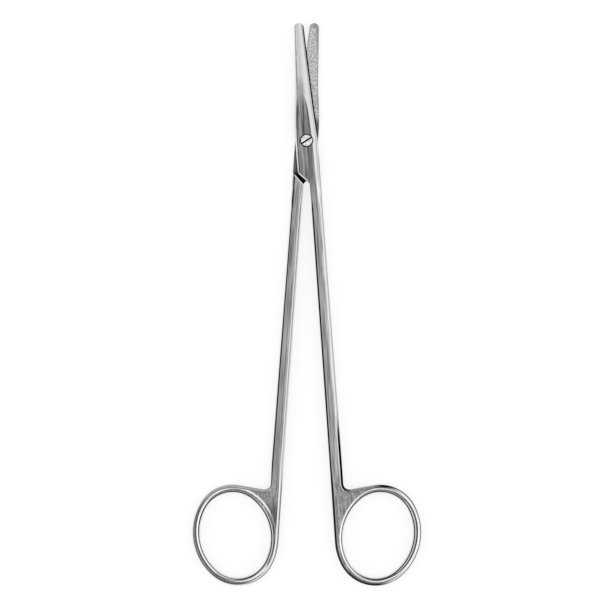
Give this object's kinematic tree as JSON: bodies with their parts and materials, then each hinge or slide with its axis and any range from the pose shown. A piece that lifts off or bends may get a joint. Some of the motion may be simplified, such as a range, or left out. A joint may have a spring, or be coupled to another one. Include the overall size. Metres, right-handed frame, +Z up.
{
  "type": "dissecting scissors",
  "caption": "Straight dissecting scissors with slender shanks, blunt rounded tips, oval finger rings and a slotted pivot screw.",
  "frame": {"origin": "on the pivot axis, at the level of the surface the closed or open scissors lie on: the ground underside of the lock, in which the screw's end is flush", "axes": "+Y to the blade tips along the line between the two halves, +X to the right seen from the screw's head, +Z up through the screw's head"},
  "size_m": [0.0734, 0.1801, 0.0045],
  "materials": {
    "satin_steel": "satin, ground and brushed along the length, rings polished",
    "screw_steel": "polished"
  },
  "bodies": {
    "back": {"back_half": "satin_steel", "pivot_screw": "screw_steel"},
    "front": {"front_half": "satin_steel"}
  },
  "joints": [
    {"name": "blade_pivot", "type": "hinge", "parent": "back", "child": "front", "pos_m": [0, 0, 0.00225], "axis": [0, 0, 1], "range_deg": [-7.4, 82.6]}
  ]
}
